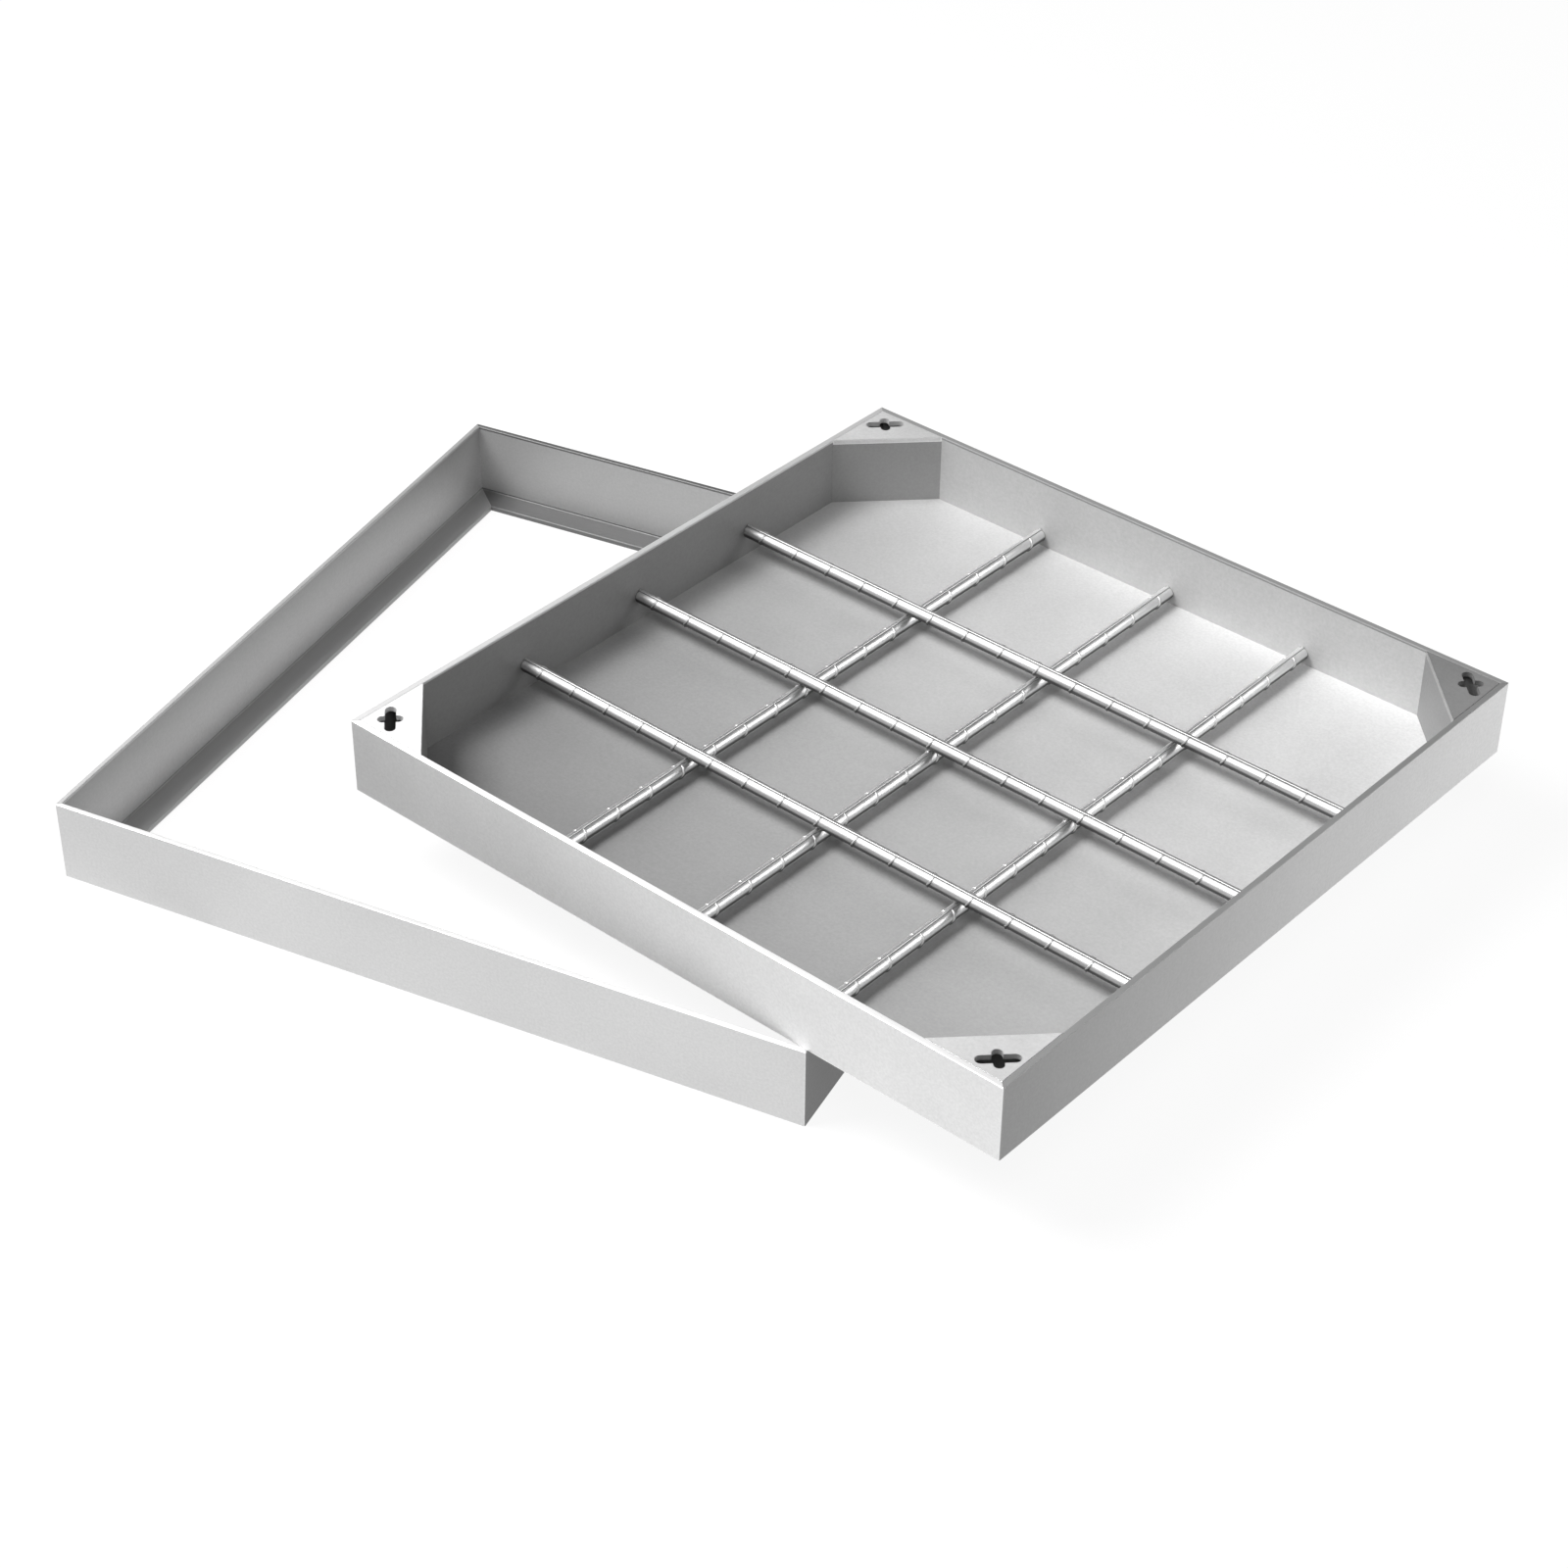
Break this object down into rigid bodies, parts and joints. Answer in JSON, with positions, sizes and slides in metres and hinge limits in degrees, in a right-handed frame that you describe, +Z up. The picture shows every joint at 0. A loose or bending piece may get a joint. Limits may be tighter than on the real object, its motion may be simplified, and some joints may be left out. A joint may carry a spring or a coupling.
{
  "type": "recessed access cover",
  "caption": "Square stainless access-cover frame of angle section with its recessed paving tray, with ribbed bars and keyholed corners, lifted out and laid across it.",
  "frame": {"origin": "centre of the whole part's footprint, on the ground under the frame", "axes": "+X and +Y along the sides of the frame, +Z up; the tray lies on the frame's rim, shifted towards +X and turned by -14.9 degrees about +Z"},
  "size_m": [0.905, 0.7212, 0.126],
  "materials": {
    "frame_steel": "satin stainless steel, grain along each length",
    "tray_steel": "satin stainless steel, grain along each length",
    "bar_steel": "smooth drawn stainless steel with rolled ribs"
  },
  "bodies": {
    "root": {"frame_front": "frame_steel", "frame_right": "frame_steel", "frame_back": "frame_steel", "frame_left": "frame_steel", "tray_floor": "tray_steel", "tray_wall_front": "tray_steel", "tray_wall_right": "tray_steel", "tray_wall_back": "tray_steel", "tray_wall_left": "tray_steel", "corner_plate_back_right": "tray_steel", "corner_plate_back_left": "tray_steel", "corner_plate_front_left": "tray_steel", "corner_plate_front_right": "tray_steel", "pocket_wall_back_right": "tray_steel", "pocket_wall_back_left": "tray_steel", "pocket_wall_front_left": "tray_steel", "pocket_wall_front_right": "tray_steel", "upper_bar_1": "bar_steel", "upper_bar_2": "bar_steel", "upper_bar_3": "bar_steel", "lower_bar_1": "bar_steel", "lower_bar_2": "bar_steel", "lower_bar_3": "bar_steel"}
  },
  "joints": []
}
